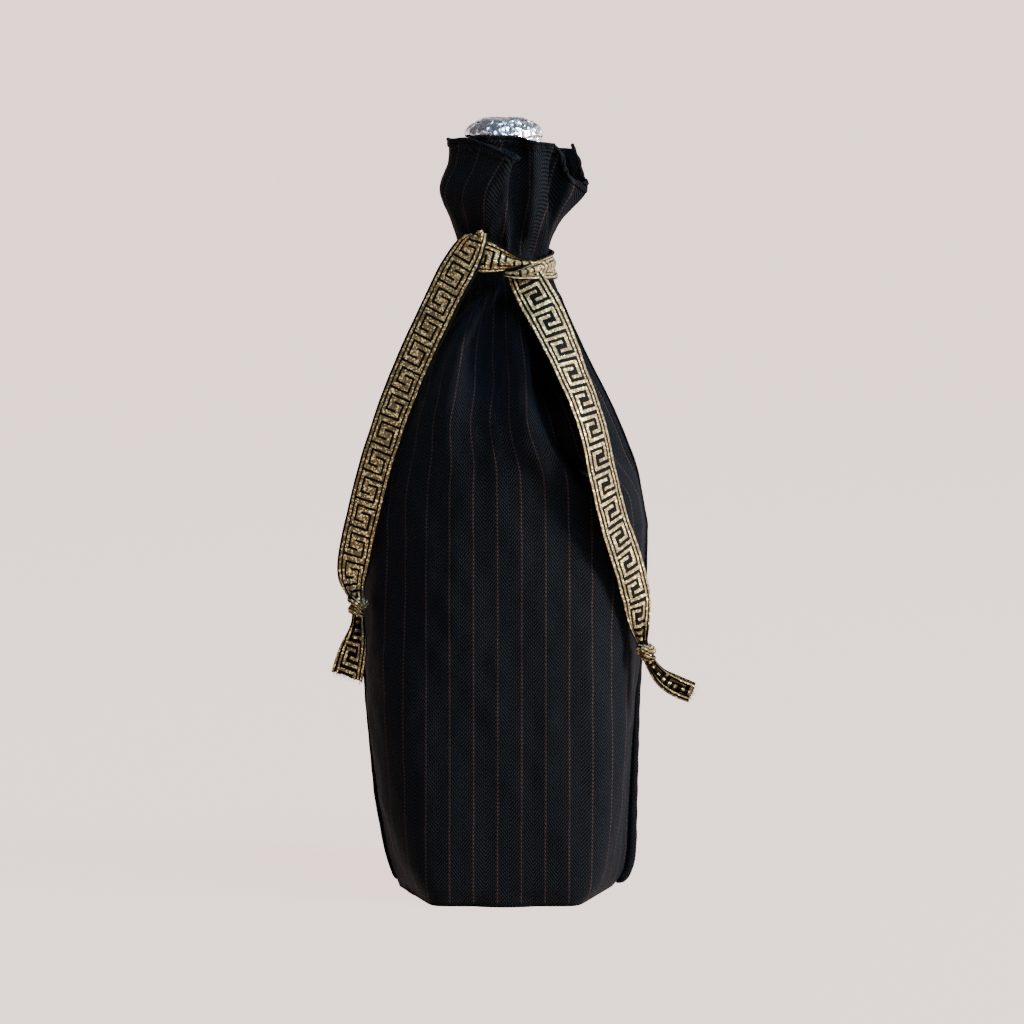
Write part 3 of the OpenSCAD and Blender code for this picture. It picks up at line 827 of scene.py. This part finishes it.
UNDER_BAND = stations([
    (-16.7, -9.8, 249.2, -66, 8.8), (-15.6, -16.2, 249.4, -56, 8.0), (-12.4, -20.2, 249.6, -38, 10.5),
    (-8.2, -22.6, 249.4, -22, 14.0), (-2.4, -23.9, 248.3, -8, 10.6), (2.6, -24.4, 247.5, 4, 6.8),
    (6.4, -24.2, 247.1, 14, 4.0), (10.0, -22.8, 247.2, 26, 2.2), (12.6, -20.6, 247.2, 40, 1.8)])
OVER_BAND = stations([
    (18.8, 1.8, 244.6, 96, 10), (19.4, -3.0, 244.6, 84, 10), (18.9, -9.6, 244.5, 66, 10),
    (16.6, -16.6, 244.5, 46, 9.2), (12.8, -22.2, 244.2, 32, 7.6), (8.4, -25.2, 243.4, 18, 5.4),
    (4.2, -25.6, 242.9, 8, 3.6), (0.8, -24.0, 243.0, 0, 2.6)])


def neck_turn():
    """The single turn of ribbon round the back of the neck, a little creased by the pleats under it."""
    rows = []
    for share in np.arange(13) / 12:
        a = math.radians(6 + 206 * share)
        x, y, r = math.cos(a), math.sin(a), 18.6 + 0.3 * math.cos(5 * a)
        rows.append((r * x, r * y, 244.6 + 4.6 * share ** 2, x, y, 0.0, 10 + 2 * y))
    return rows


neck_ribbon = ribbon("neck_ribbon", neck_turn(), start=4, seed=31, pleats=1.0)
under_band = ribbon("knot_under", UNDER_BAND, start=-9.0, seed=33, pleats=1.5)
over_band = ribbon("knot_over", OVER_BAND, start=3.0, seed=35, pleats=2.0)
left_tail = ribbon("left_tail_ribbon", LEFT_TAIL, start=0.0, seed=41, cup=0.5, skew=-4.0)
right_tail = ribbon("right_tail_ribbon", RIGHT_TAIL, start=6.0, reverse=True, seed=43, cup=0.5, pleats=2.0)
left_tip = ribbon("left_tip_ribbon", LEFT_TIP, start=2.0, reverse=True, seed=45, cup=-0.8, fringe=0.7)
right_tip = ribbon("right_tip_ribbon", RIGHT_TIP, start=0.0, reverse=True, seed=47, cup=-1.2, fringe=0.6)


def stopper_knot(name, centre, axis, size, seed):
    """Overhand knot pulled tight: the gathered ribbon makes one and a half lumpy turns about itself."""
    centre, axis = np.array(centre, float), unit(np.array(axis, float))
    across = unit(np.cross(axis, (0.0, 1.0, 0.0)))
    depth = np.cross(axis, across)
    t = np.linspace(0, 1, 90)
    turn = t * math.tau * 1.55 + 0.6
    spread = size * (0.50 + 0.06 * np.cos(turn * 2 + seed))
    climb = size * (1.15 * (0.5 - t) + 0.22 * np.sin(turn * 2))
    path = (centre + across * (np.cos(turn) * spread)[:, None] + depth * (np.sin(turn) * spread)[:, None]
            + axis * climb[:, None])
    radius = size * (0.40 + 0.06 * np.sin(t * 23 + seed) + 0.03 * np.sin(t * 61))
    radius = radius * np.clip(np.minimum(t, 1 - t) * 9 + 0.45, 0.45, 1)
    rng = np.random.default_rng(seed)
    dark = rng.integers(0, 3, 24)

    def band(i, j):
        return int((j + dark[(i // 9) % 24]) % 6 in (0, 3) or (i // 7) % 5 == 0 and j % 4 < 2)

    return tube(name, path, radius, [GOLD, BLACK], sides=24, slots=band, squash=0.8, uv_pitch=0.5)


APEX = [(-10.4, -24.8, 257.6), (-9.6, -25.4, 258.6), (-8.8, -25.0, 258.8), (-8.0, -23.8, 257.4),
        (-7.4, -22.4, 255.6)]
apex_nub = tube("knot_apex", APEX, (0.6, 0.95, 1.0, 0.95, 0.6), [GOLD, BLACK], sides=16,
                slots=lambda i, j: int(j % 5 == 0), uv_pitch=0.5)
left_knot = stopper_knot("left_knot", (-56.2, -22.4, 114.8), (0.1, 0, -1), 4.4, 2)
right_knot = stopper_knot("right_knot", (54.6, -25.6, 97.6), (0.45, 0, -0.9), 4.3, 5)


def frays(name, tip, reach, seed):
    """Loose warp ends standing out of a cut edge: thin bent threads of both colours."""
    rng = np.random.default_rng(seed)
    tip = np.asarray(tip, float)
    end, before = tip[-1, :3], tip[-2, :3]
    along = unit(end - before)
    side = unit(np.cross(tip[-1, 3:6], along))
    out = np.cross(along, side)
    verts, faces, slots, uv = [], [], [], []
    count, steps, sides = 34, 4, 3
    for k in range(count):
        place = rng.uniform(-0.48, 0.48) * tip[-1, 6]
        length = reach * rng.uniform(0.25, 1.0) ** 1.5
        lean, bend = rng.normal(0, 0.35), rng.normal(0, 0.35)
        start = len(verts)
        for step in range(steps + 1):
            t = step / steps
            p = (end + side * (place + lean * length * t * t) + along * length * (t - 0.15)
                 + out * bend * length * t * t)
            thick = 0.11 * (1 - 0.7 * t)
            for a in range(sides):
                b = a * math.tau / sides
                verts.append(p + (side * math.cos(b) + out * math.sin(b)) * thick)
                uv.append((a * 0.1, t * length))
        for ring in range(start, start + steps * sides, sides):
            for a in range(sides):
                b = (a + 1) % sides
                faces.append((ring + a, ring + b, ring + sides + b, ring + sides + a))
                slots.append(k % 3 == 0)
    return make_mesh(name, verts, faces, [GOLD, BLACK], uv, np.array(slots, int))


left_frays = frays("left_frays", LEFT_TIP, 2.6, 61)
right_frays = frays("right_frays", RIGHT_TIP, 2.0, 63)


# ---------------------------------------------------------------- foil capsule

def foil_cap(name, profile, rows, cols, seed, closed):
    """Turned foil with crumples pushed into it: flat facets meeting at creases."""
    line = even(catmull(profile, np.linspace(0, len(profile) - 1, 300)), rows)
    angle = np.linspace(0, math.tau, cols, endpoint=False)
    r, z = line[:, 0][:, None], line[:, 1][:, None]
    u = angle[None, :] * FOIL_R + 0 * r
    v = distance(line)[:, None] + 0 * u

    def around(wave, shift):
        """Noise that meets itself after one turn."""
        blend = (1 - np.cos(angle / 2)[None, :]) / 2
        return ripple(u, v, wave, shift) * (1 - blend) + ripple(u - math.tau * FOIL_R, v, wave, shift) * blend

    crease = 1 - 2 * np.abs(around(7.0, seed)) + 0.6 * (1 - 2 * np.abs(around(3.4, seed + 1)))
    push = 0.24 * crease * ease(r / 6) + 0.10 * around(1.8, seed + 2) * ease(r / 5)
    slope = unit(np.gradient(line, axis=0))
    out_r, out_z = -slope[:, 1][:, None], slope[:, 0][:, None]
    radius, height = r + out_r * push, z + out_z * push
    grid = np.stack([radius * np.cos(angle), radius * np.sin(angle), height + 0 * angle], axis=2)
    faces = []
    for i in range(rows - 1):
        for j in range(cols):
            k = (j + 1) % cols
            faces.append((i * cols + j, (i + 1) * cols + j, (i + 1) * cols + k, i * cols + k))
    verts = grid.reshape(-1, 3)
    if closed:
        middle = len(verts)
        verts = np.concatenate([verts, [[0, 0, grid[0, :, 2].mean()]]])
        faces += [(middle, j, (j + 1) % cols) for j in range(cols)]
    return make_mesh(name, verts, faces, [FOIL])


FOIL_TOP = [(0.4, 300.2), (4, 300.4), (7.6, 300.3), (9.2, 299.9), (9.9, 299.3)]
FOIL_SIDE = [(9.8, 299.4), (11.4, 298.6), (13.2, 297.6), (14.6, 296.4), (15.15, 295.2), (14.9, 294.0),
             (14.5, 293.2), (14.9, 292.2), (FOIL_R, 288), (FOIL_R, 276), (FOIL_R, SKIRT_Z)]
foil_top = foil_cap("foil_top", FOIL_TOP, 26, 150, seed=71, closed=True)
foil_side = foil_cap("foil_side", FOIL_SIDE, 110, 220, seed=73, closed=False)


# ---------------------------------------------------------------- how the pieces belong to the frame

def belongs(piece, body, replaced):
    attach(piece, body)
    if replaced:
        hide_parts(*replaced)


for piece, replaced, slot_name in (
        (front_cloth, ["front_panel"], "suiting"), (back_cloth, ["back_panel"], "suiting"),
        (front_rim, ["front_hem"], "suiting_seams"), (back_rim, ["back_hem"], "suiting_seams"),
        (left_ridge, ["left_side_seam"], "suiting_seams"),
        (right_ridge, ["right_side_seam"], "suiting_seams"),
        (hem_stitches, ["hem_thread"], "thread"), (left_stitches, ["left_seam_thread"], "thread"),
        (right_stitches, ["right_seam_thread"], "thread"), (neck_ribbon, ["neck_wrap"], "ribbon"),
        (under_band, ["knot_under_band"], "ribbon"), (over_band, ["knot_over_band"], "ribbon"),
        (apex_nub, [], "ribbon"), (base_edge, [], "suiting_seams")):
    belongs(piece, "bag", replaced)
for piece, body, replaced in (
        (left_knot, "left_tail", ["left_stopper_knot"]), (right_knot, "right_tail", ["right_stopper_knot"]),
        (left_frays, "left_tip", []), (right_frays, "right_tip", [])):
    belongs(piece, body, replaced)
belongs(foil_top, "bottle", ["capsule_disc"])
belongs(foil_side, "bottle", ["capsule_skirt"])


def bends(piece, replaced):
    """A ribbon that crosses a joint is baked where it lies, and the CAD part it replaces is hidden."""
    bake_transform(piece)
    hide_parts(replaced)


bends(left_tail, "left_tail")
bends(right_tail, "right_tail")
bends(left_tip, "left_tip")
bends(right_tip, "right_tip")


def finish_cad_node(node, material):
    """Give a CAD node that stays visible its own material."""
    obj = bpy.data.objects[node]
    for slot_number in range(max(1, len(obj.material_slots))):
        if not obj.material_slots:
            obj.data.materials.append(material)
        obj.material_slots[slot_number].material = material


finish_cad_node("base_panel", SUITING_PLAIN)
finish_cad_node("base_seam", SEAM_CLOTH)
finish_cad_node("bottle_glass", bottle_glass())
finish_cad_node("cork", cork())


# ---------------------------------------------------------------- studio

def studio():
    """Evenly lit pale table that fills the view, with a soft key from the right and a cool skylight."""
    radius, sides = 14000.0, 96
    ring = [(radius * math.cos(a), radius * math.sin(a), 0.0) for a in np.linspace(0, math.tau, sides, False)]
    table = make_mesh("light_table", ring, [range(sides)], [studio_paper()], smooth=False)
    bpy.context.scene.world = dim_room()
    lamp("key", (1.95, -0.60, 0.80), (0.0, 0.0, 0.16), 0.6, 230.0, (1.0, 0.96, 0.955))
    lamp("skylight", (0.42, -0.52, 1.22), (0.0, 0.0, 0.20), 0.7, 40.0, (0.46, 0.70, 1.0))


def dim_room():
    """Dim room whose far wall, low behind the bag, is as bright as the table."""
    g = Graph("studio", world=True)
    _, back, up = g.split(g.node("ShaderNodeTexCoord", out="Generated"))
    wall = g.math("MULTIPLY", g.step(back, 0.35, 0.8), g.step(up, 0.5, 0.2))
    background = g.tree.nodes["Background"]
    g.feed(background.inputs[0], g.mix(wall, (0.080, 0.082, 0.084, 1), (1.9, 1.5, 1.37, 1)))
    background.inputs[1].default_value = 1.0
    return g.owner


def lamp(name, place, aim, size, watts, colour):
    data = bpy.data.lights.new(name, "AREA")
    data.shape = "DISK"
    data.size = size
    data.energy = watts
    data.color = colour
    obj = bpy.data.objects.new(name, data)
    obj.location = place
    obj.rotation_euler = (Vector(aim) - Vector(place)).to_track_quat("-Z", "Y").to_euler()
    bpy.context.scene.collection.objects.link(obj)


def camera():
    """Long lens 2 m away, 8 degrees above the bag's middle."""
    aim = Vector((0.003, 0.0, 0.148))
    away, rise = 2.0, math.radians(8)
    data = bpy.data.cameras.new("camera")
    data.lens = 181.4
    data.sensor_width = 36.0
    data.clip_start = 0.05
    obj = bpy.data.objects.new("camera", data)
    obj.location = aim + Vector((0.0, -math.cos(rise), math.sin(rise))) * away
    obj.rotation_euler = (aim - obj.location).to_track_quat("-Z", "Y").to_euler()
    bpy.context.scene.collection.objects.link(obj)
    bpy.context.scene.camera = obj


studio()
camera()
